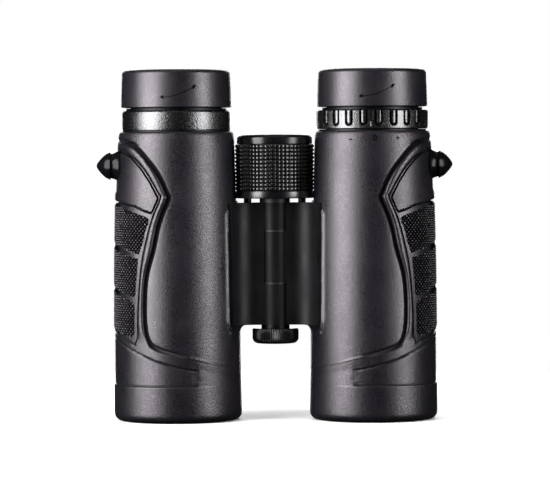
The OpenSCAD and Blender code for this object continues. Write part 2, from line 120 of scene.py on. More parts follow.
def rubber(name, dark, light, rough, grain=2600, bump=0.35, sparkle=0.08, tint=(1, 1, 1), specular=0.5,
           grooved=False):
    # moulded rubber: fine grain, slow patches of sheen, dull at the foot of grooves and darkened there with
    # painted shade
    mat, nodes, links, shader, coords = newMaterial(name)
    fine = noiseNode(nodes, links, coords, grain, 2.4, 0.65)
    patch = noiseNode(nodes, links, coords, 90, 3.0, 0.55)
    slow = rangeNode(nodes, links, patch, rough - 0.04, rough + 0.05)
    quick = rangeNode(nodes, links, fine, -sparkle, sparkle)
    shade, dullness = fine, mathNode(nodes, links, "ADD", slow, quick)
    if grooved:
        # painted shade at the foot of grooves: darker colour, higher roughness and a near-black metallic that
        # reflects almost nothing
        hollow = hollowFactor(nodes)
        shade = mathNode(nodes, links, "SUBTRACT", fine, hollow)
        dullness = mathNode(nodes, links, "ADD", dullness, rangeNode(nodes, links, hollow, 0, 0.4, 0, 1))
        # near-black and metallic reflects almost nothing, so the groove reads as a shadow
        links.new(rangeNode(nodes, links, hollow, 0, 0.95, 0.2, 0.9), shader.inputs["Metallic"])
    links.new(rampNode(nodes, links, shade, dark, light, 0.25, 0.8), shader.inputs["Base Color"])
    links.new(dullness, shader.inputs["Roughness"])
    links.new(bumpNode(nodes, links, fine, bump, 0.0003), shader.inputs["Normal"])
    shader.inputs["Specular IOR Level"].default_value = specular
    shader.inputs["Specular Tint"].default_value = (*tint, 1)
    return mat


def glossPaint(name, dark, light, rough, grain=900, bump=0.08, specular=0.4, grooved=False):
    # black enamel over a casting: orange peel and a few duller patches
    mat, nodes, links, shader, coords = newMaterial(name)
    peel = noiseNode(nodes, links, coords, grain, 2.0)
    patch = noiseNode(nodes, links, coords, 120, 4.0, 0.6)
    links.new(rampNode(nodes, links, patch, dark, light), shader.inputs["Base Color"])
    dullness = rangeNode(nodes, links, patch, rough - 0.05, rough + 0.08)
    if grooved:
        # painted shade at the foot of grooves and knurl valleys: rougher, and metallic over the near-black base
        # so almost nothing is reflected
        hollow = hollowFactor(nodes)
        dullness = mathNode(nodes, links, "ADD", dullness, rangeNode(nodes, links, hollow, 0, 0.45, 0, 1))
        links.new(rangeNode(nodes, links, hollow, 0, 0.95, 0.1, 0.8), shader.inputs["Metallic"])
    links.new(dullness, shader.inputs["Roughness"])
    links.new(bumpNode(nodes, links, peel, bump, 0.0001), shader.inputs["Normal"])
    shader.inputs["Specular IOR Level"].default_value = specular
    return mat


def turnedMetal(name, dark, light, rough, grain=1800, rings=0.25, bump=0.2, grooved=False):
    # lathe-turned or blasted metal: grain everywhere, faint rings along z, painted shade that turns the grooves
    # black
    mat, nodes, links, shader, coords = newMaterial(name)
    fine = noiseNode(nodes, links, coords, grain, 1.5, 0.6)
    ring = noiseNode(nodes, links, coords, 40, 2.0, 0.5, (0.4, 0.4, 90.0))
    shade, dullness = fine, rangeNode(nodes, links, fine, rough - 0.07, rough + 0.1)
    if grooved:
        # painted shade at the foot of the grooves: darker colour and higher roughness
        hollow = hollowFactor(nodes)
        shade = mathNode(nodes, links, "SUBTRACT", fine, hollow)
        dullness = mathNode(nodes, links, "ADD", dullness, rangeNode(nodes, links, hollow, 0, 0.4, 0, 1))
    links.new(rampNode(nodes, links, shade, tuple(0.03 * c for c in dark), light, -0.6, 0.75),
              shader.inputs["Base Color"])
    links.new(dullness, shader.inputs["Roughness"])
    under = bumpNode(nodes, links, ring, rings, 0.00002)
    links.new(bumpNode(nodes, links, fine, bump, 0.0001, under), shader.inputs["Normal"])
    shader.inputs["Metallic"].default_value = 1.0
    return mat


def opticalGlass(name, tint, coating, rough=0.02):
    # coated glass: clear body, coloured sheen at a slant and faint dust in the roughness
    mat, nodes, links, shader, coords = newMaterial(name)
    dust = noiseNode(nodes, links, coords, 700, 5.0, 0.7)
    links.new(rampNode(nodes, links, dust, tint, tuple(0.96 * c for c in tint)), shader.inputs["Base Color"])
    links.new(rangeNode(nodes, links, dust, rough, rough + 0.03, 0.4, 0.8), shader.inputs["Roughness"])
    links.new(bumpNode(nodes, links, dust, 0.01, 0.00001), shader.inputs["Normal"])
    shader.inputs["Transmission Weight"].default_value = 0.9
    shader.inputs["IOR"].default_value = 1.52
    shader.inputs["Coat Weight"].default_value = 0.6
    shader.inputs["Coat Roughness"].default_value = 0.03
    shader.inputs["Coat Tint"].default_value = (*coating, 1)
    shader.inputs["Specular Tint"].default_value = (*coating, 1)
    return mat


violet = (1.0, 0.93, 1.0)
# grooved=True lays painted shade at the foot of a piece's grooves
mats = {
    "armor": rubber("armorRubber", (0.002, 0.0018, 0.0026), (0.006, 0.0052, 0.0078), rough=0.35, grain=2400,
                    bump=0.33, sparkle=0.12, tint=violet, grooved=True),
    "grip": rubber("gripRubber", (0.0006, 0.0005, 0.0008), (0.006, 0.0055, 0.0075), rough=0.34, grain=2000,
                   bump=0.3, sparkle=0.05, tint=violet, grooved=True),
    "lug": rubber("lugPlastic", (0.0015, 0.0015, 0.002), (0.0035, 0.0035, 0.0045), rough=0.19, grain=1800,
                  bump=0.05, sparkle=0.01, specular=0.1),
    "eyecup_rubber": rubber("eyecupRubber", (0.002, 0.0018, 0.0027), (0.006, 0.0055, 0.0078), rough=0.35,
                            grain=2400, bump=0.25, sparkle=0.09, tint=violet),
    "casting": glossPaint("castingPaint", (0.002, 0.002, 0.0025), (0.004, 0.004, 0.005), rough=0.46,
                          grain=2400, bump=0.3, specular=0.14),
    "wheel_black": glossPaint("wheelGloss", (0.0015, 0.0015, 0.002), (0.004, 0.004, 0.005), rough=0.24,
                              bump=0.1, specular=0.25),
    "cap_black": glossPaint("capGloss", (0.0015, 0.0015, 0.002), (0.004, 0.004, 0.005), rough=0.3,
                            bump=0.1, specular=0.25),
    "wheel_rubber": glossPaint("wheelKnurl", (0.0006, 0.0006, 0.0008), (0.003, 0.003, 0.004), rough=0.22,
                               grain=2200, bump=0.1, specular=0.5, grooved=True),
    "inner_plastic": rubber("innerPlastic", (0.003, 0.003, 0.0035), (0.007, 0.007, 0.008), rough=0.5,
                            grain=1500, bump=0.2),
    "seal": rubber("sealRubber", (0.002, 0.002, 0.002), (0.005, 0.005, 0.005), rough=0.5, grain=1800,
                   bump=0.2),
    "cell": turnedMetal("blackAnodised", (0.008, 0.008, 0.009), (0.016, 0.016, 0.018), rough=0.4, grain=1500),
    "holder": turnedMetal("greyAnodised", (0.10, 0.10, 0.11), (0.16, 0.16, 0.17), rough=0.5, grain=900),
    "steel": turnedMetal("turnedSteel", (0.46, 0.46, 0.48), (0.62, 0.62, 0.64), rough=0.3),
    "bronze": turnedMetal("turnedBrass", (0.46, 0.33, 0.15), (0.66, 0.50, 0.26), rough=0.33),
    "dark_chrome": turnedMetal("darkChrome", (0.03, 0.03, 0.031), (0.095, 0.095, 0.098), rough=0.24,
                               grain=2300, rings=0.1, bump=1.0),
    "diopter_metal": turnedMetal("diopterChrome", (0.03, 0.03, 0.031), (0.09, 0.09, 0.093), rough=0.27,
                                 grain=2300, rings=0.1, bump=0.7, grooved=True),
    "objective_glass": opticalGlass("objectiveGlass", (0.75, 0.86, 0.84), (0.45, 0.85, 0.6)),
    "eye_glass": opticalGlass("eyeGlass", (0.86, 0.82, 0.88), (0.75, 0.5, 0.85)),
    "inner_glass": opticalGlass("innerGlass", (0.93, 0.95, 0.95), (0.8, 0.9, 1.0)),
    "prism_glass": opticalGlass("prismGlass", (0.92, 0.95, 0.94), (0.9, 0.95, 1.0)),
}

slotOf = {s["node"]: s["material_slot"] for s in frame["record"]["subparts"]}
for nodeName, cadObject in frame["nodes"].items():
    cadObject.data.materials.clear()
    cadObject.data.materials.append(mats[slotOf[nodeName]])
print("materials made:", len(mats))


# modelling helpers
def clearSelection():
    if bpy.context.object and bpy.context.object.mode != "OBJECT":
        bpy.ops.object.mode_set(mode="OBJECT")
    bpy.ops.object.select_all(action="DESELECT")


def getPoints(obj):
    co = np.zeros(len(obj.data.vertices) * 3)
    obj.data.vertices.foreach_get("co", co)
    return co.reshape(-1, 3)


def setPoints(obj, co):
    obj.data.vertices.foreach_set("co", np.ascontiguousarray(co, dtype=np.float32).ravel())
    obj.data.update()


def smooth(obj, angle=35):
    clearSelection()
    obj.select_set(True)
    bpy.context.view_layer.objects.active = obj
    bpy.ops.object.shade_smooth_by_angle(angle=math.radians(angle))


def applyModifier(obj, kind, **settings):
    clearSelection()
    obj.select_set(True)
    bpy.context.view_layer.objects.active = obj
    mod = obj.modifiers.new(kind.title(), kind)
    for key, value in settings.items():
        setattr(mod, key, value)
    bpy.ops.object.modifier_apply(modifier=mod.name)


def addPiece(obj, body, slotName, standsFor=()):
    obj.data.materials.clear()
    obj.data.materials.append(mats[slotName])
    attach(obj, body)
    if standsFor:
        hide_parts(*standsFor)
    return obj


def turnProfile(name, points, centre=(0, 0), steps=128, angle=35):
    # a closed outline (radius, height) in mm, spun once round the z axis
    clearSelection()
    bpy.ops.mesh.primitive_circle_add(vertices=len(points), radius=0.01)
    obj = bpy.context.object
    obj.name = name
    setPoints(obj, np.array([(r * mm, 0, z * mm) for r, z in points]))
    bpy.ops.object.mode_set(mode="EDIT")
    bpy.ops.mesh.select_all(action="SELECT")
    bpy.ops.mesh.spin(steps=steps, angle=2 * math.pi, center=(0, 0, 0), axis=(0, 0, 1))
    bpy.ops.mesh.select_all(action="SELECT")
    bpy.ops.mesh.remove_doubles(threshold=0.000004)
    bpy.ops.mesh.dissolve_degenerate(threshold=0.000002)
    bpy.ops.mesh.normals_make_consistent(inside=False)
    bpy.ops.object.mode_set(mode="OBJECT")
    co = getPoints(obj)
    co[:, 0] += centre[0] * mm
    co[:, 1] += centre[1] * mm
    setPoints(obj, co)
    smooth(obj, angle)
    return obj


def arcPoints(centre, radius, start, end, count=7):
    # part of a circle in the outline's own plane, angles in degrees
    return [(centre[0] + radius * math.cos(math.radians(t)), centre[1] + radius * math.sin(math.radians(t)))
            for t in np.linspace(start, end, count)]


def smoothLine(points, steps=6):
    # a soft curve through the given points
    p = np.array([points[0], *points, points[-1]], float)
    out = []
    for i in range(1, len(p) - 2):
        for t in np.linspace(0, 1, steps, endpoint=False):
            a, b, c, d = p[i - 1], p[i], p[i + 1], p[i + 2]
            bend, twist = 2 * a - 5 * b + 4 * c - d, 3 * b - a - 3 * c + d
            out.append(0.5 * ((2 * b) + (c - a) * t + bend * t * t + twist * t ** 3))
    out.append(p[-2])
    return np.array(out)


arcPerDegree = 22.8 * math.pi / 180


def lineDistance(a, z, line):
    # distance in mm from each point (angle, height) to a polyline on the barrel
    px, pz = a * arcPerDegree, z
    best = np.full(px.shape, 1e9)
    for (a0, z0), (a1, z1) in zip(line[:-1], line[1:]):
        x0, x1 = a0 * arcPerDegree, a1 * arcPerDegree
        dx, dz = x1 - x0, z1 - z0
        length = max(dx * dx + dz * dz, 1e-9)
        t = np.clip(((px - x0) * dx + (pz - z0) * dz) / length, 0, 1)
        best = np.minimum(best, np.hypot(px - x0 - t * dx, pz - z0 - t * dz))
    return best


def insideOutline(a, z, outline):
    inside = np.zeros(a.shape, bool)
    for (a0, z0), (a1, z1) in zip(outline, outline[1:] + outline[:1]):
        if z0 == z1:
            continue
        crosses = (z > min(z0, z1)) & (z <= max(z0, z1))
        inside ^= crosses & (a < a0 + (z - z0) * (a1 - a0) / (z1 - z0))
    return inside


def step(x):
    x = np.clip(x, 0, 1)
    return x * x * (3 - 2 * x)


def groove(distance, half, soft, depth):
    return -depth * step((half + soft - distance) / soft)


def wrapGrid(name, columns, rows, place):
    # a flat grid whose columns and rows are then placed round the piece. place(column, row) gives mm
    clearSelection()
    bpy.ops.mesh.primitive_grid_add(x_subdivisions=columns, y_subdivisions=rows, size=2)
    obj = bpy.context.object
    obj.name = name
    flat = getPoints(obj)
    column = np.rint((flat[:, 0] + 1) / 2 * columns).astype(int)
    row = np.rint((flat[:, 1] + 1) / 2 * rows).astype(int)
    setPoints(obj, np.stack(place(column, row), axis=1) * mm)
    return obj


def deleteFaces(obj, keep):
    # keep is a test on face centres in mm
    centres = np.zeros(len(obj.data.polygons) * 3)
    obj.data.polygons.foreach_get("center", centres)
    centres = centres.reshape(-1, 3) / mm
    obj.data.polygons.foreach_set("select", ~keep(centres))
    bpy.ops.object.mode_set(mode="EDIT")
    bpy.ops.mesh.select_mode(type="FACE")
    bpy.ops.object.mode_set(mode="OBJECT")
    obj.data.polygons.foreach_set("select", ~keep(centres))
    bpy.ops.object.mode_set(mode="EDIT")
    bpy.ops.mesh.delete(type="FACE")
    bpy.ops.mesh.select_mode(type="VERT")
    bpy.ops.object.mode_set(mode="OBJECT")


def closeShell(obj, axis, inner, weld=0.00001):
    # merge the seam, face outwards, then give the skin an inner wall. inner(r, z) gives that wall in mm
    bpy.ops.object.mode_set(mode="EDIT")
    bpy.ops.mesh.select_all(action="SELECT")
    bpy.ops.mesh.remove_doubles(threshold=weld)
    bpy.ops.object.mode_set(mode="OBJECT")
    face = obj.data.polygons[len(obj.data.polygons) // 2]
    away = Vector((face.center.x - axis[0] * mm, face.center.y - axis[1] * mm, 0))
    if face.normal.dot(away) < 0:
        bpy.ops.object.mode_set(mode="EDIT")
        bpy.ops.mesh.select_all(action="SELECT")
        bpy.ops.mesh.flip_normals()
        bpy.ops.object.mode_set(mode="OBJECT")
    outer = getPoints(obj)
    applyModifier(obj, "SOLIDIFY", thickness=0.0004, offset=-1.0)
    co = getPoints(obj)
    count = len(outer)
    x, y, z = (outer / mm).T
    r = np.hypot(x - axis[0], y - axis[1])
    newR, newZ = inner(r, z)
    co[count:2 * count, 0] = (axis[0] + (x - axis[0]) * newR / r) * mm
    co[count:2 * count, 1] = (axis[1] + (y - axis[1]) * newR / r) * mm
    co[count:2 * count, 2] = newZ * mm
    setPoints(obj, co)
    # the inner wall is plain, so its faces are joined again
    centres = np.zeros(len(obj.data.polygons) * 3)
    obj.data.polygons.foreach_get("center", centres)
    centres = centres.reshape(-1, 3) / mm
    faceR = np.hypot(centres[:, 0] - axis[0], centres[:, 1] - axis[1])
    checkR, _ = inner(faceR, centres[:, 2])
    plain = np.abs(faceR - checkR) < 0.03
    bpy.ops.object.mode_set(mode="EDIT")
    bpy.ops.mesh.select_mode(type="FACE")
    bpy.ops.mesh.select_all(action="DESELECT")
    bpy.ops.object.mode_set(mode="OBJECT")
    obj.data.polygons.foreach_set("select", plain)
    bpy.ops.object.mode_set(mode="EDIT")
    bpy.ops.mesh.remove_doubles(threshold=weld)
    bpy.ops.mesh.dissolve_limited(angle_limit=math.radians(0.5))
    bpy.ops.mesh.select_mode(type="VERT")
    bpy.ops.object.mode_set(mode="OBJECT")
    return obj


# rubber armour
armorForm = {
    "lip": [(17.6, 1.5), (17.6, 0.25), (17.85, 0.0), (21.2, 0.0), (21.9, 0.1), (22.5, 0.45), (23.0, 1.0),
            (23.3, 1.6), (23.45, 2.3)],
    "side": [(2.3, 23.45), (3.2, 23.5), (12.9, 23.5), (13.9, 23.12), (35, 23.1), (57.7, 22.95), (79, 22.5),
             (87.5, 22.2), (95, 21.95), (100, 21.7), (103, 21.45), (104.6, 21.2)],
    "plainSide": [(3.2, 23.5), (22, 23.15), (35, 23.1)],
    "shoulder": [(21.05, 105.1), (20.8, 105.5), (20.5, 105.7)],
    # grid rows: (from, to, gap)
    "rowSteps": [(2.9, 12.4, 0.9), (12.4, 14.6, 0.2), (14.6, 16.8, 0.4), (16.8, 31.0, 0.27),
                 (31.0, 34.7, 0.2), (34.7, 75.6, 0.8), (75.6, 79.6, 0.21), (79.6, 80.4, 0.2),
                 (80.42, 103.2, 0.34), (103.2, 104.7, 0.4)],
    "windowLow": 34.7, "windowHigh": 79.6, "windowHalf": 33.8,
    "wheelRadius": 15.3, "wheelFrom": 80.4,
    "innerRadius": 20.4,
    # heights and depths of the moulding
    "crown": 0.42, "mainDepth": 1.15, "thinDepth": 0.75, "thinEndDepth": 0.8, "thumbDepth": 1.0,
    "wedgeDepth": 0.45, "seamAt": 13.5, "seamDepth": 0.5, "tailRise": 0.15, "tailBead": 0.22, "swell": 0.4,
    "saddleBead": 0.5, "wingCorner": 2.6, "insertDepth": 1.25,
    # where the lines below are drawn from: eye distance and height, barrel axis, drawn and true radius
    "eye": 1215.0, "eyeLevel": 99.9, "axis": 35.983, "drawnRadius": 23.092, "trueRadius": 23.0,
    # lines over the rubber as drawn on the front view: (degrees towards the outer side, height)
    "mainLine": [(90, 102.6), (75, 102.4), (68.9, 102.3), (52.1, 101.4), (39.0, 98.9), (29.0, 95.2),
                 (20.9, 91.6), (14.1, 87.2), (9.9, 83.3), (7.9, 81.7), (9.9, 79.3), (14.6, 75.0),
                 (18.6, 70.1), (21.0, 65.8), (23.4, 61.5), (29.8, 52.5), (31.9, 43.3), (31.3, 34.0),
                 (27.3, 28.5), (19.7, 25.9), (5.4, 24.1), (-6.3, 22.9)],
    "tailLine": [(-6.3, 22.9), (-15.8, 22.2), (-33.7, 20.6), (-55, 19.3)],
    "thinLine": [(80, 99.1), (64.8, 98.9), (49.1, 96.8), (38.7, 94.0), (30.8, 90.9), (23.3, 86.7),
                 (18.1, 83.3), (15.9, 82.1), (18.0, 79.3), (22.9, 75.3), (26.9, 70.7), (30.4, 65.8),
                 (33.8, 60.3), (36.8, 53.4), (39.1, 43.2), (39.9, 37), (40.0, 30.5), (42.9, 27.6)],
    "thinEnd": [(42.9, 27.6), (51.6, 29.1), (70, 31.2), (90, 32.6)],
    "thumbLine": [(84, 98.6), (67, 98.1), (52.4, 96.8), (38.4, 92.8), (30.4, 89.1), (26.7, 87.3),
                  (24.1, 85.4), (19.7, 82.4), (18.5, 81.3), (20.5, 79.3), (23.8, 76.5), (25.5, 75.9)],
    "thumbLow": [(25.5, 75.9), (31.7, 76.5), (43.7, 78.4), (58.6, 79.3), (72, 79.9), (90, 80.2)],
    "wedgeTop": [(90, 30.2), (70, 28.6), (51.6, 26.1), (28.7, 22.4), (10.1, 19.8), (-7.4, 18.1),
                 (-17.2, 17.5)],
    "wedgeEnd": [(-17.2, 17.5), (-17.6, 13.9)],
    # bead along the hinge wing, already in its true place
    "saddleLine": [(-74, 78.9), (-62, 78.3), (-56.0, 76.0), (-55.1, 72), (-55.0, 45), (-55.2, 36),
                   (-57.5, 32.5), (-61, 30)],
}


def ontoBarrel(line):
    # what is nearer to the eye is drawn larger, so each point is taken back to its place on the rubber
    form = armorForm
    placed = []
    for drawn, z in line:
        a = drawn
        for _ in range(9):
            nearer = form["eye"] / (form["eye"] - form["trueRadius"] * math.cos(math.radians(a)))
            across = (form["axis"] + form["drawnRadius"] * math.sin(math.radians(drawn))) / nearer - 36
            if drawn <= 75:
                a = math.degrees(math.asin(across / form["trueRadius"]))
        height = form["eyeLevel"] + (z - form["eyeLevel"]) / nearer
        placed.append((round(a, 1), round(height, 1)) if drawn < 89 else (drawn, z))
    return placed


for drawnLine in ("mainLine", "tailLine", "thinLine", "thinEnd", "thumbLine", "thumbLow", "wedgeTop",
                  "wedgeEnd"):
    armorForm[drawnLine] = ontoBarrel(armorForm[drawnLine])


def lineAt(line, z, low, high):
    # degrees of a line at each height, held still beyond its ends
    curve = smoothLine(line)
    order = np.argsort(curve[:, 1])
    return np.interp(np.clip(z, low, high), curve[order, 1], curve[order, 0])


def lineTable(z):
    main = lineAt(armorForm["mainLine"], z, 27.6, 101.6)
    thin = lineAt(armorForm["thinLine"], z, 29.6, 98.6)
    thumb = lineAt(armorForm["thumbLine"], z, 76.6, 97.8)
    start = lineAt(armorForm["thumbLine"], 76.6, 76.6, 97.8) - lineAt(armorForm["thinLine"], 76.6, 29.0, 98.6)
    thumb = np.where(z < 76.6, thin + 6.1 - (6.1 - start) * step((z - 69) / 7.6), thumb)
    return main, thin, thumb


def armorRadius(z):
    side = np.array(armorForm["side"])
    return np.interp(z, side[:, 0], side[:, 1])


def insideInsert(a, z):
    # mm inside the border of the grip insert, negative outside
    fold = np.where(a > 90, 180 - a, a)
    low, top = np.array(armorForm["thinEnd"]), np.array(armorForm["thumbLow"])
    _, thin, _ = lineTable(z)
    fromLow = z - np.interp(fold, low[:, 0], low[:, 1]) - 0.5
    fromTop = np.interp(fold, top[:, 0], top[:, 1]) - 0.4 - z
    return np.minimum(np.minimum(fromLow, fromTop), (fold - thin - 1.5) * arcPerDegree)


def armorRelief(a, z):
    # the back repeats the front, mirrored at the outer side
    form = armorForm
    a = np.where(a > 90, 180 - a, a)
    main, thin, thumb = lineTable(z)
    arc = arcPerDegree
    relief = np.zeros(a.shape)
    plain = np.array(form["plainSide"])
    hingeSide = step((-17.5 - a) / np.where(z < 13.4, 25, 0.5)) * ((z > 3.2) & (z < 35))
    relief += hingeSide * (np.interp(z, plain[:, 0], plain[:, 1]) - armorRadius(z))
    # crowned band between the wide groove and the thin one
    across = np.clip(((a - main) * arc - 0.9) / np.maximum((thin - main) * arc - 1.2, 0.3), 0, 1)
    relief += form["crown"] * np.sin(math.pi * across) ** 0.6 * step((z - 29) / 5) * step((102 - z) / 3)
    fade = np.where(z < 30, np.interp(a, [-9, 4, 24], [0.18, 0.45, 1.0]), 1.0)
    dMain = lineDistance(a, z, smoothLine(form["mainLine"]))
    fade = fade * np.interp(a, [62, 82], [1.0, 0.4])
    relief -= form["mainDepth"] * fade * step((0.45 * fade + 0.7 - dMain) / 0.7)
    # the tail runs out as a low lip
    tail = np.array(form["tailLine"])[::-1]
    below = np.interp(a, tail[:, 0], tail[:, 1]) - z
    onTail = step((-2 - a) / 12) * step((a + 70) / 14)
    lip = form["tailRise"] * step(below / 0.5) * step((4 - below) / 3)
    relief += onTail * (lip + form["tailBead"] * step(1 - np.abs(below - 0.2) / 0.5))
    dThin = lineDistance(a, z, smoothLine(form["thinLine"]))
    relief += groove(dThin, 0.1, 0.14, form["thinDepth"]) * step((102 - z) / 2)
    relief += groove(lineDistance(a, z, form["thinEnd"]), 0.25, 0.4, form["thinEndDepth"])
    dThumb = np.minimum(lineDistance(a, z, smoothLine(form["thumbLine"])),
                        lineDistance(a, z, form["thumbLow"]))
    relief += groove(dThumb, 0.18, 0.18, form["thumbDepth"])
    # the outer side swells just above the grip
    relief += form["swell"] * step((a - 50) / 30) * step((z - 80.3) / 0.8) * step((84.6 - z) / 2.0)
    dWedge = np.minimum(lineDistance(a, z, smoothLine(form["wedgeTop"], 4)),
                        lineDistance(a, z, form["wedgeEnd"]))
    relief += groove(dWedge, 0.06, 0.34, form["wedgeDepth"])
    relief += groove(np.abs(z - form["seamAt"]), 0.06, 0.3, form["seamDepth"]) * step((a + 17.8) / 0.5)
    dSaddle = lineDistance(a, z, smoothLine(form["saddleLine"], 4))
    relief += form["saddleBead"] * step((0.6 - dSaddle) / 0.5) * step((z - 29.5) / 4)
    # soft corners under the hinge wings
    corner = form["wingCorner"]
    rise = np.clip(z - form["windowLow"] + corner, 0, corner) * (z < form["windowLow"] + 0.01)
    relief += step((-56.5 - a) / 4) * (corner - np.sqrt(corner ** 2 - rise ** 2))
    # room for the grip insert
    return relief - form["insertDepth"] * step((insideInsert(a, z) - 0.5) / 0.7)


def armorColumns(z):
    # column angles at each height: bunched where the lines run, so that they stay crisp
    main, thin, thumb = lineTable(z)
    arc = arcPerDegree

    def reach(line):
        slope = np.gradient(line * arc, z)
        return np.minimum(np.sqrt(1 + slope ** 2), 2.4) / arc

    m, t, b = reach(main), reach(thin), reach(thumb)
    still = np.ones_like(z)
    knots = [-56.2 * still, -55.7 * still, -54.3 * still,
             main - 1.05 * m, main - 0.4 * m, main + 0.4 * m, main + 1.05 * m,
             thin - 0.24 * t, thin - 0.07 * t, thin + 0.07 * t, thin + 0.24 * t,
             thumb - 0.4 * b, thumb - 0.18 * b, thumb + 0.18 * b, thumb + 0.44 * b, 90 * still]
    counts = [1, 4, 33, 3, 3, 3, 8, 2, 2, 2, 2, 2, 2, 2, 26]
    knots = np.array(knots)
    for i in range(1, len(knots) - 1):
        knots[i] = np.maximum(knots[i], knots[i - 1] + 0.06)
    for i in range(len(knots) - 2, 0, -1):
        knots[i] = np.minimum(knots[i], knots[i + 1] - 0.06)
    front = [knots[i] + (knots[i + 1] - knots[i]) * k / n for i, n in enumerate(counts) for k in range(n)]
    front = np.array(front)
    back = 180 - front[::-1]
    hinge = np.linspace(236.2, 303.8, 47)[1:-1, None] * still
    return np.concatenate([front, [90 * still], back, hinge, [303.8 * still]])


def paintGrooveShade(obj, axis, level, depth):
    # painted shade: level(a, z) is the open surface in mm, and a point that lies depth below it gets the full
    # painted shade
    co = getPoints(obj) / mm
    r = np.hypot(co[:, 0] - axis[0], co[:, 1] - axis[1])
    turn = np.degrees(np.arctan2(co[:, 0] - axis[0], -co[:, 1]))
    hollow = np.clip((level(turn, co[:, 2]) - r) / depth, 0, 1)
    layer = obj.data.attributes.new("hollow", "FLOAT", "POINT")
    layer.data.foreach_set("value", hollow.astype(np.float32))


def paintPrintDark(obj):
    # the marks' own dark print, kept in the same layer as the painted groove shade
    layer = obj.data.attributes.new("hollow", "FLOAT", "POINT")
    layer.data.foreach_set("value", np.ones(len(obj.data.vertices), np.float32))


def makeArmor(side):
    form = armorForm
    cx, way = barrelX[side], outward[side]
    heights = np.concatenate([np.linspace(low, high, max(2, round((high - low) / gap)), endpoint=False)
                              for low, high, gap in form["rowSteps"]])
    rows = [*form["lip"], *[(float(armorRadius(h)), h) for h in heights], *form["shoulder"]]
    rowR, rowZ = np.array(rows).T
    sideRows = slice(len(form["lip"]), len(rows) - len(form["shoulder"]))
    angles = armorColumns(rowZ[sideRows])
    angles = np.concatenate([np.repeat(angles[:, :1], len(form["lip"]), 1), angles,
                             np.repeat(angles[:, -1:], len(form["shoulder"]), 1)], axis=1)

    def place(column, row):
        a, z = angles[column, row], rowZ[row]
        around = np.where(a > 270, a - 360, a)
        fade = step((z - 2.2) / 1.0) * step((104.9 - z) / 1.2)
        r = rowR[row] + armorRelief(around, z) * fade
        # scallop for the focus wheel
        facing = -np.sin(np.radians(a))
        behind = 36.0 * facing
        inRoot = np.maximum(behind ** 2 - 36.0 ** 2 + form["wheelRadius"] ** 2, 0)
        reach = np.where((inRoot > 0) & (facing > 0), behind - np.sqrt(inRoot), 99)
        r = np.where((z > form["wheelFrom"]) & (reach < r), np.maximum(reach, form["innerRadius"] + 0.1), r)
        return cx + way * r * np.sin(np.radians(a)), -r * np.cos(np.radians(a)), z

    obj = wrapGrid(side + "ArmorRubber", angles.shape[0] - 1, len(rows) - 1, place)

    def keep(centres):
        angle = np.degrees(np.arctan2(-way * (centres[:, 0] - cx), -centres[:, 1]))
        inWindow = (np.abs(angle - 90) < form["windowHalf"]) & (centres[:, 2] > form["windowLow"]) \
            & (centres[:, 2] < form["windowHigh"])
        return ~inWindow

    deleteFaces(obj, keep)

    def inner(r, z):
        return np.where(r < form["innerRadius"], r, form["innerRadius"]), np.maximum(z, 1.5 * (z < 1.5))

    closeShell(obj, (cx, 0), inner)
    # painted shade at the foot of the moulded grooves
    paintGrooveShade(obj, (cx, 0), lambda turn, z: armorRadius(z) - 0.15, 1.15)
    smooth(obj, 40)
    return addPiece(obj, side + "_barrel", "armor", [side + "_armor"])


gripForm = {
    # the three pads, drawn as the lines of the armour are
    "segments": [[(24, 73.0), (34.9, 63.6), (38.3, 60.6), (83.3, 65.3), (90.5, 65.9), (90.5, 79.3), (60, 78.0),
                  (31, 74.6)],
                 [(39.0, 59.0), (42.7, 45.7), (45.0, 44.9), (89.4, 50.0), (90.5, 50.1), (90.5, 64.0)],
                 [(43.6, 41.9), (43.9, 31.3), (47.3, 30.0), (90.5, 34.4), (90.5, 48.1), (47.3, 43.6)]],
    "columns": 224, "rows": 212,
    "pitch": 1.174, "dotFlat": 0.26, "dotFall": 0.26, "depth": 0.55, "proud": 0.42, "thickness": 1.05,
}
gripForm["segments"] = [ontoBarrel(outline) for outline in gripForm["segments"]]


def gripLevel(turn, z):
    # the open surface of the pads: level with the rubber at the front edge, proud at the outer side
    fold = np.where(turn > 90, 180 - turn, turn)
    return armorRadius(z) + 0.06 + gripForm["proud"] * step((fold - 40) / 35)


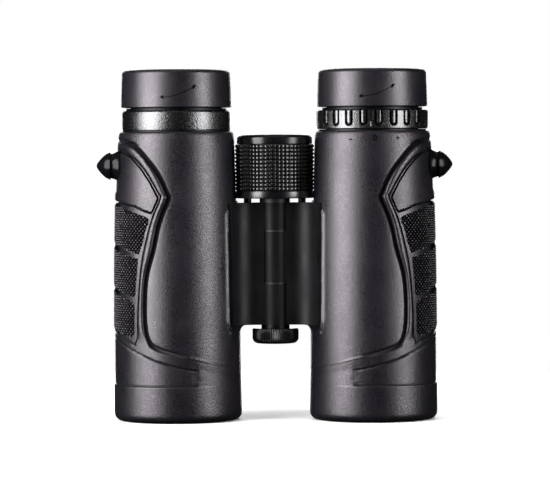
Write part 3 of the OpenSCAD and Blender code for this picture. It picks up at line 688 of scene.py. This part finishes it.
def makeGrip(side):
    form = gripForm
    cx, way = barrelX[side], outward[side]
    low, top = np.array(armorForm["thinEnd"]), np.array(armorForm["thumbLow"])

    def depthInside(a, z):
        a = np.where(a > 90, 180 - a, a)
        best = np.full(a.shape, -9.0)
        for outline in form["segments"]:
            edges = [outline[i:i + 2] for i in range(len(outline) - 1)] + [[outline[-1], outline[0]]]
            edges = [e for e in edges if not (e[0][0] > 90 and e[1][0] > 90)]
            d = np.min([lineDistance(a, z, e) for e in edges], axis=0)
            best = np.maximum(best, np.where(insideOutline(a, z, outline), d, -d))
        return best

    def place(column, row):
        u, v = column / form["columns"], row / form["rows"]
        a = 33 + u * 114
        for _ in range(4):
            fold = np.where(a > 90, 180 - a, a)
            zLow = np.interp(fold, low[:, 0], low[:, 1]) + 0.5
            zTop = np.interp(fold, top[:, 0], top[:, 1]) - 0.45
            z = zLow + v * (zTop - zLow)
            edge = lineTable(z)[1] + 1.5
            a = edge + u * (180 - 2 * edge)
        d = depthInside(a, z)
        s = (a - 90) * arcPerDegree
        p, q = (s + z) / math.sqrt(2) / form["pitch"], (s - z) / math.sqrt(2) / form["pitch"]
        off = np.hypot(p - np.rint(p), q - np.rint(q)) * form["pitch"]
        dot = step((form["dotFlat"] + form["dotFall"] - off) / form["dotFall"])
        fold = np.where(a > 90, 180 - a, a)
        proud = form["proud"] * step((fold - 40) / 35) * step((d + 0.1) / 0.4)
        r = armorRadius(z) + 0.04 + proud - form["depth"] * step(d / 0.3) * (1 - dot)
        return cx + way * r * np.sin(np.radians(a)), -r * np.cos(np.radians(a)), z

    obj = wrapGrid(side + "GripPad", form["columns"], form["rows"], place)
    closeShell(obj, (cx, 0), lambda r, z: (armorRadius(z) - form["thickness"], z))
    # painted shade in the sunken field between the dots
    paintGrooveShade(obj, (cx, 0), lambda turn, z: gripLevel(way * turn, z) - 0.2, form["depth"] * 0.4)
    smooth(obj, 50)
    return addPiece(obj, side + "_barrel", "grip", [side + "_grip"])


for side in ("left", "right"):
    makeArmor(side)
    makeGrip(side)
    print(side, "armour and grip made")


# strap lugs
lugForm = {
    "height": 93.4, "spread": 2.6,
    # (half width, distance from the barrel axis)
    "outline": [(0, 20.6), (6.1, 20.6), (6.2, 20.75), (5.9, 21.1), (5.5, 21.7), (5.15, 22.3), (4.85, 23.0),
                (4.7, 23.6), (4.7, 24.0), (5.05, 24.1), (5.15, 24.3), (5.05, 24.6), (4.85, 25.0), (4.4, 25.9),
                (3.85, 26.6), (3.25, 27.25), (2.6, 27.85), (2.0, 28.35), (1.4, 28.8), (0.8, 29.15),
                (0.35, 29.32), (0, 29.35)],
    "holeRadius": 1.9, "holeAt": 25.9,
}


def makeLug(side):
    form = lugForm
    obj = turnProfile(side + "StrapLug", form["outline"], steps=72, angle=30)
    co = getPoints(obj) / mm
    way = outward[side]
    along = co[:, 1] + form["spread"] * np.sign(np.round(co[:, 1], 4))
    placed = np.stack([barrelX[side] + way * co[:, 2], along * way, form["height"] - co[:, 0]], axis=1)
    setPoints(obj, placed * mm)
    clearSelection()
    holeX = (barrelX[side] + way * form["holeAt"]) * mm
    bpy.ops.mesh.primitive_cylinder_add(vertices=48, radius=form["holeRadius"] * mm, depth=0.02,
                                        location=(holeX, 0, form["height"] * mm))
    drill = bpy.context.object
    bpy.ops.object.transform_apply(location=True, rotation=True, scale=True)
    clearSelection()
    obj.select_set(True)
    bpy.context.view_layer.objects.active = obj
    bpy.ops.object.mode_set(mode="EDIT")
    bpy.ops.mesh.select_all(action="SELECT")
    bpy.ops.mesh.normals_make_consistent(inside=False)
    bpy.ops.object.mode_set(mode="OBJECT")
    applyModifier(obj, "BOOLEAN", object=drill, operation="DIFFERENCE", solver="EXACT")
    bpy.data.objects.remove(drill)
    smooth(obj, 30)
    return addPiece(obj, side + "_barrel", "lug", [side + "_strap_lug"])


for side in ("left", "right"):
    makeLug(side)
print("strap lugs made")


# eyecups and rings
cupForm = {"foot": 114.6, "top": 128.5}


def makeEyecup(side):
    form = cupForm
    lowZ, topZ = form["foot"], form["top"]
    outline = [(19.25, lowZ), (19.9, lowZ), (20.15, lowZ + 0.08), (20.28, lowZ + 0.25), (20.3, lowZ + 0.5),
               (20.22, lowZ + 4), (20.1, lowZ + 8), (19.95, topZ - 2.4)]
    outline += arcPoints((18.1, topZ - 1.9), 1.9, 10, 88, 9)
    outline += [(17.4, topZ), (16.6, topZ)] + arcPoints((16.3, topZ - 1.6), 1.6, 92, 178, 8)
    outline += [(14.62, topZ - 2.4), (14.62, topZ - 3.6), (15.35, topZ - 3.6), (15.4, topZ - 1.95),
                (19.15, topZ - 1.95)]
    obj = turnProfile(side + "EyecupRubber", outline, (barrelX[side], 0), 160, 32)
    return addPiece(obj, side + "_cup", "eyecup_rubber", [side + "_eyecup_skin"])


def makeTwistArrow(side):
    # two-headed arrow that shows the cup twists up, moulded slightly proud
    clearSelection()
    bpy.ops.mesh.primitive_cube_add(size=1)
    shaft = bpy.context.object
    bpy.ops.object.mode_set(mode="EDIT")
    bpy.ops.transform.resize(value=(0.0112, 0.00028, 0.0003))
    bpy.ops.mesh.subdivide(number_cuts=9)
    bpy.ops.object.mode_set(mode="OBJECT")
    heads = []
    for way in (-1, 1):
        clearSelection()
        bpy.ops.mesh.primitive_cylinder_add(vertices=3, radius=0.00095, depth=0.0003)
        head = bpy.context.object
        bpy.ops.object.mode_set(mode="EDIT")
        bpy.ops.mesh.subdivide(number_cuts=2)
        bpy.ops.object.mode_set(mode="OBJECT")
        co = getPoints(head)
        setPoints(head, np.stack([way * (0.0059 + co[:, 1]), way * -co[:, 0], co[:, 2]], axis=1))
        heads.append(head)
    clearSelection()
    for obj in (shaft, *heads):
        obj.select_set(True)
    bpy.context.view_layer.objects.active = shaft
    bpy.ops.object.join()
    shaft.name = side + "TwistArrow"
    flat = getPoints(shaft) / mm
    r = 20.14 + flat[:, 2]
    turn = (flat[:, 0] + 1.3) / 20.2
    z = 118.3 + flat[:, 1] + 3.8 * np.clip((flat[:, 0] + 5) / 11, 0, 1.2) ** 1.7
    setPoints(shaft, np.stack([barrelX[side] + r * np.sin(turn), -r * np.cos(turn), z], axis=1) * mm)
    bpy.ops.object.mode_set(mode="EDIT")
    bpy.ops.mesh.select_all(action="SELECT")
    bpy.ops.mesh.normals_make_consistent(inside=False)
    bpy.ops.object.mode_set(mode="OBJECT")
    paintPrintDark(shaft)
    return addPiece(shaft, side + "_cup", "grip")


ringForm = {"low": 106.3, "high": 113.5, "radius": 20.0, "bore": 17.0}


def makeTrimRing():
    form = ringForm
    low, high, r = form["low"], form["high"], form["radius"]
    outline = [(form["bore"], low), (r - 0.45, low), (r - 0.2, low + 0.06), (r - 0.04, low + 0.2),
               (r, low + 0.45),
               (r, high - 0.8), (r - 0.1, high - 0.5), (r - 0.4, high - 0.12), (r - 0.7, high),
               (form["bore"], high)]
    obj = turnProfile("leftTrimRing", outline, (barrelX["left"], 0), 160, 28)
    return addPiece(obj, "left_barrel", "dark_chrome", ["left_trim_ring"])


diopterForm = {
    "slots": 23, "phase": 5.2, "radius": 20.5, "low": 106.45, "high": 113.35, "bore": 17.3,
    "edges": [-2.8, -1.62, -1.4, -0.92, -0.7, 0.7, 0.92, 1.4, 1.62, 2.8],
    "counts": [3, 2, 3, 2, 6, 2, 3, 2, 3],
    "slotHalf": 1.62, "ribHalf": 0.92, "slotFoot": 0.95, "ribFoot": 1.75, "depth": 0.95,
    "index": -2.6, "notchHalf": 0.8, "notchFrom": 3.2,
}


def makeDiopterRing():
    form = diopterForm
    cx = barrelX["right"]
    tall = form["high"] - form["low"]
    slotWidth = 2 * math.pi * form["radius"] / form["slots"]
    one = np.concatenate([np.linspace(p, q, n, endpoint=False)
                          for p, q, n in zip(form["edges"][:-1], form["edges"][1:], form["counts"])])
    columnS = np.concatenate([one / 5.6 * slotWidth + k * slotWidth for k in range(form["slots"])] + [[0]])
    columnS[-1] = columnS[0] + form["slots"] * slotWidth
    edge = form["radius"]
    rows = [(form["bore"] + 1.2, 0), (edge - 0.4, 0), (edge - 0.12, 0.1), (edge, 0.3)]
    rows += [(edge, h) for h in np.arange(0.55, tall - 0.45, 0.19)]
    rows += [(edge - 0.03, tall - 0.35), (edge - 0.15, tall - 0.12), (edge - 0.45, tall),
             (form["bore"] + 1.2, tall)]
    rowR, rowZ = np.array(rows).T

    def place(column, row):
        s, z = columnS[column], rowZ[row]
        turn = math.radians(form["phase"]) + s / form["radius"]
        local = s - np.rint(s / slotWidth) * slotWidth
        # a U-shaped groove around a rib that stays at full height
        foot = form["slotFoot"] + form["slotHalf"]
        toAxis = np.where(z > foot, np.abs(local), np.hypot(local, z - foot))
        ribFoot = form["ribFoot"] + form["ribHalf"]
        toRib = np.where(z > ribFoot, np.abs(local), np.hypot(local, z - ribFoot))
        inSlot = step((form["slotHalf"] - toAxis) / 0.22)
        onRib = step((form["ribHalf"] - toRib) / 0.22)
        dip = form["depth"] * inSlot * (1 - onRib) + 0.22 * onRib * (local / form["ribHalf"]) ** 2
        # index line on the land beside the front, with a notch above it
        fromIndex = (np.degrees(turn) - form["index"] + 180) % 360 - 180
        fromIndex = fromIndex * math.pi / 180 * form["radius"]
        notch = step((form["notchHalf"] - np.abs(fromIndex)) / 0.25) * step((z - form["notchFrom"]) / 0.3)
        dip = np.maximum(dip, 0.6 * notch)
        dip -= 0.16 * step((0.3 - np.abs(fromIndex)) / 0.15) * step((z - 0.5) / 0.2) * step((2.9 - z) / 0.2)
        r = rowR[row] - np.where(rowR[row] > form["radius"] - 0.6, dip, 0)
        return cx + r * np.sin(turn), -r * np.cos(turn), form["low"] + z

    obj = wrapGrid("diopterRing", len(columnS) - 1, len(rows) - 1, place)
    closeShell(obj, (cx, 0), lambda r, z: (0 * r + form["bore"], z))
    # painted shade at the foot of the U-grooves and the notch
    paintGrooveShade(obj, (cx, 0), lambda turn, z: 0 * z + form["radius"] - 0.3, 0.35)
    smooth(obj, 30)
    return addPiece(obj, "diopter", "diopter_metal", ["diopter_ring"])


def makeDialMarks():
    # minus, zero and plus over the diopter range, printed on the shoulder
    made = []
    for text, degrees, size in (("-", -23, 5.0), ("0", 1, 3.0), ("+", 24, 3.2)):
        clearSelection()
        bpy.ops.object.text_add()
        mark = bpy.context.object
        mark.data.body = text
        mark.data.size = size * mm
        mark.data.align_x = "CENTER"
        mark.data.align_y = "CENTER"
        mark.data.extrude = 0.00012
        bpy.ops.object.convert(target="MESH")
        mark = bpy.context.object
        bpy.ops.object.mode_set(mode="EDIT")
        bpy.ops.mesh.select_all(action="SELECT")
        bpy.ops.mesh.remove_doubles(threshold=0.000003)
        bpy.ops.mesh.normals_make_consistent(inside=False)
        bpy.ops.object.mode_set(mode="OBJECT")
        flat = getPoints(mark) / mm
        z = 103.0 + flat[:, 1]
        r = armorRadius(z) + flat[:, 2] + 0.02
        turn = math.radians(degrees) + flat[:, 0] / 21.5
        setPoints(mark, np.stack([barrelX["right"] + r * np.sin(turn), -r * np.cos(turn), z], axis=1) * mm)
        made.append(mark)
    clearSelection()
    for mark in made:
        mark.select_set(True)
    bpy.context.view_layer.objects.active = made[0]
    bpy.ops.object.join()
    made[0].name = "diopterMarks"
    paintPrintDark(made[0])
    return addPiece(made[0], "right_barrel", "grip")


for side in ("left", "right"):
    makeEyecup(side)
    makeTwistArrow(side)
makeTrimRing()
makeDiopterRing()
makeDialMarks()
print("eyecups, rings and marks made")


# focus wheel
wheelForm = {"low": 81.2, "knurlLow": 84.1, "knurlHigh": 101.0, "top": 104.6, "radius": 14.6, "foot": 14.4,
             "inner": 12.9, "knobs": 62, "knobRows": 12, "perKnob": 6, "knobHeight": 0.5}


def makeWheelGrip():
    form = wheelForm
    columns = form["knobs"] * form["perKnob"]
    perRow = 6
    pitch = (form["knurlHigh"] - form["knurlLow"]) / form["knobRows"]
    rows = [(13.6, form["low"]), (form["foot"] - 0.3, form["low"]), (form["foot"] - 0.08, form["low"] + 0.1),
            (form["foot"], form["low"] + 0.35), (form["foot"], form["knurlLow"] - 0.5),
            (form["foot"] - 0.1, form["knurlLow"] - 0.25), (form["foot"] - 0.35, form["knurlLow"] - 0.05)]
    first = len(rows)
    rows += [(form["radius"], form["knurlLow"] + i * pitch / perRow)
             for i in range(form["knobRows"] * perRow + 1)]
    rows += [(13.3, form["knurlHigh"])]
    rowR, rowZ = np.array(rows).T

    def place(column, row):
        turn = column / columns * 2 * math.pi
        r = rowR[row].copy()
        onKnurl = (row >= first) & (row < len(rows) - 1)
        u = column / form["perKnob"]
        v = (row - first) / perRow
        across = 1 - 2 * np.abs(u - np.floor(u) - 0.5)
        along = 1 - 2 * np.abs(v - np.floor(v) - 0.5)
        knob = np.minimum(np.minimum(across, along), 0.72) / 0.72
        r = np.where(onKnurl, form["radius"] - form["knobHeight"] * (1 - knob), r)
        return r * np.sin(turn), -r * np.cos(turn), rowZ[row]

    obj = wrapGrid("focusWheelGrip", columns, len(rows) - 1, place)
    closeShell(obj, (0, 0), lambda r, z: (0 * r + form["inner"], z))

    def knurlLevel(turn, z):
        onKnurl = (z > form["knurlLow"]) & (z < form["knurlHigh"])
        return np.where(onKnurl, form["radius"] - 0.25, 0)

    # painted shade in the valleys between the knobs
    paintGrooveShade(obj, (0, 0), knurlLevel, form["knobHeight"] * 0.6)
    smooth(obj, 20)
    return addPiece(obj, "focus_wheel", "wheel_rubber", ["wheel_grip"])


def makeWheelHub():
    form = wheelForm
    top = form["top"]
    outline = [(12.0, 81.2), (12.85, 81.2), (12.85, 101.05), (13.3, 101.05), (13.75, 101.1), (13.88, 101.25),
               (13.9, 101.5), (13.9, 103.3), (13.8, 103.6), (13.4, 104.15), (13.0, 104.45), (12.6, 104.58),
               (12.2, top), (11.3, top), (11.1, 104.5), (11.0, 104.3), (11.0, 103.6), (5.5, 103.6), (5.5, 101.0),
               (4.6, 101.0), (4.6, 98.6), (12.0, 98.6)]
    obj = turnProfile("focusWheelHub", outline, (0, 0), 128, 28)
    return addPiece(obj, "focus_wheel", "wheel_black", ["wheel_hub"])


def makeWheelCap():
    outline = [(0, 103.62), (10.95, 103.62), (10.95, 104.2), (10.8, 104.35), (9.9, 104.38), (9.6, 104.2),
               (9.3, 104.12), (3.0, 104.06), (2.4, 104.12), (1.2, 104.2), (0, 104.22)]
    obj = turnProfile("focusWheelCap", outline, (0, 0), 96, 24)
    return addPiece(obj, "focus_wheel", "wheel_black", ["wheel_cap"])


makeWheelGrip()
makeWheelHub()
makeWheelCap()
print("focus wheel made")


# tripod socket cap
capForm = {"low": 27.8, "high": 33.4, "radius": 8.5, "bore": 5.5, "ribs": 60, "ribDepth": 0.22}


def makeTripodCap():
    form = capForm
    low, high, r = form["low"], form["high"], form["radius"]
    rows = [(0.02, low), (6.3, low), *arcPoints((6.5, low + 2.0), 2.0, -88, -5, 8), (r, low + 2.4),
            (r, low + 3.6), (r, high - 0.5), (r - 0.15, high - 0.2), (r - 0.45, high), (form["bore"], high),
            (form["bore"], low + 0.8), (0.02, low + 0.8)]
    rowR, rowZ = np.array(rows).T
    columns = form["ribs"] * 6

    def place(column, row):
        turn = column / columns * 2 * math.pi
        wave = 0.5 - 0.5 * np.cos(column / 6 * 2 * math.pi)
        rr = rowR[row]
        onSide = (rr > r - 0.1)
        rr = np.where(onSide, rr - form["ribDepth"] * wave, rr)
        return rr * np.sin(turn), -rr * np.cos(turn), rowZ[row]

    obj = wrapGrid("tripodCap", columns, len(rows) - 1, place)
    bpy.ops.object.mode_set(mode="EDIT")
    bpy.ops.mesh.select_all(action="SELECT")
    bpy.ops.mesh.remove_doubles(threshold=0.000004)
    bpy.ops.mesh.select_all(action="DESELECT")
    bpy.ops.mesh.select_non_manifold()
    bpy.ops.mesh.fill_holes(sides=0)
    bpy.ops.mesh.select_all(action="SELECT")
    bpy.ops.mesh.normals_make_consistent(inside=False)
    bpy.ops.object.mode_set(mode="OBJECT")
    smooth(obj, 30)
    return addPiece(obj, "tripod_cap", "cap_black", ["tripod_cap"])


makeTripodCap()
print("tripod cap made")


# floor, light and camera
stageForm = {
    "floorRadius": 0.27,
    # side, azimuth from the camera, distance, width, height, middle height, watts
    "lamps": [("left", -58, 0.6, 0.44, 0.62, 0.2, 13.5), ("right", 58, 0.8, 0.28, 0.62, 0.2, 8.6),
              ("back", 180, 1.2, 0.7, 1.0, 0.4, 12.0)],
    "topWatts": 4, "floorWatts": 14, "worldLight": 0.02,
}

clearSelection()
bpy.ops.mesh.primitive_circle_add(vertices=128, radius=stageForm["floorRadius"], fill_type="NGON",
                                  location=(0, 0, -0.0002))
floor = bpy.context.object
floor.name = "studioFloor"
floorMat, floorNodes, floorLinks, floorShader, floorCoords = newMaterial("paleFloor")
floorPatch = noiseNode(floorNodes, floorLinks, floorCoords, 3)
floorLinks.new(rampNode(floorNodes, floorLinks, floorPatch, (0.9, 0.9, 0.9), (0.93, 0.93, 0.93)),
               floorShader.inputs["Base Color"])
floorShader.inputs["Roughness"].default_value = 0.85
floor.data.materials.append(floorMat)
# the floor throws no light back on the rubber
floor.visible_diffuse = False
floor.visible_glossy = False

world = bpy.data.worlds.new("studioWorld")
bpy.context.scene.world = world
world.use_nodes = True
worldNodes, worldLinks = world.node_tree.nodes, world.node_tree.links
backLight = worldNodes["Background"]
backLight.inputs["Color"].default_value = (1, 1, 1, 1)
backLight.inputs["Strength"].default_value = stageForm["worldLight"]
backDrop = worldNodes.new("ShaderNodeBackground")
backDrop.inputs["Color"].default_value = (1, 1, 1, 1)
backDrop.inputs["Strength"].default_value = 1.0
rays = worldNodes.new("ShaderNodeLightPath")
mixer = worldNodes.new("ShaderNodeMixShader")
worldLinks.new(rays.outputs["Is Camera Ray"], mixer.inputs[0])
worldLinks.new(backLight.outputs[0], mixer.inputs[1])
worldLinks.new(backDrop.outputs[0], mixer.inputs[2])
worldLinks.new(mixer.outputs[0], worldNodes["World Output"].inputs["Surface"])


def addLamp(name, azimuth, distance, wide, tall, power, height=0.09):
    data = bpy.data.lights.new(name, "AREA")
    data.shape = "RECTANGLE"
    data.size, data.size_y = wide, tall
    data.energy = power
    lamp = bpy.data.objects.new(name, data)
    bpy.context.scene.collection.objects.link(lamp)
    turn = math.radians(azimuth)
    lamp.location = (distance * math.sin(turn), -distance * math.cos(turn), height)
    aim = Vector((0, 0, 0.065)) - lamp.location
    lamp.rotation_euler = aim.to_track_quat("-Z", "Y").to_euler()
    return lamp


for side, azimuth, distance, wide, tall, height, power in stageForm["lamps"]:
    addLamp(side + "Softbox", azimuth, distance, wide, tall, power, height)
addLamp("topSoftbox", 0, 0.05, 1.6, 1.6, stageForm["topWatts"], 1.5)
# one more lamp whitens the floor alone
floorOnly = bpy.data.collections.new("floorOnly")
floorOnly.objects.link(floor)
floorLamp = addLamp("floorLamp", 0, 0.05, 1.2, 1.2, stageForm["floorWatts"], 1.4)
floorLamp.light_linking.receiver_collection = floorOnly
bpy.context.scene.view_settings.view_transform = "Standard"

cameraForm = {"distance": 1.215, "height": 0.0999, "pitch": 1.61, "roll": -0.35, "lens": 216.0}
cameraData = bpy.data.cameras.new("studioCamera")
cameraData.lens = cameraForm["lens"]
cameraData.sensor_width = 36.0
cameraData.clip_end = 50
camera = bpy.data.objects.new("studioCamera", cameraData)
bpy.context.scene.collection.objects.link(camera)
camera.matrix_world = (Matrix.Translation((0.0, -cameraForm["distance"], cameraForm["height"]))
                       @ Matrix.Rotation(math.radians(90 - cameraForm["pitch"]), 4, "X")
                       @ Matrix.Rotation(math.radians(cameraForm["roll"]), 4, "Z"))
bpy.context.scene.camera = camera
print("stage ready")
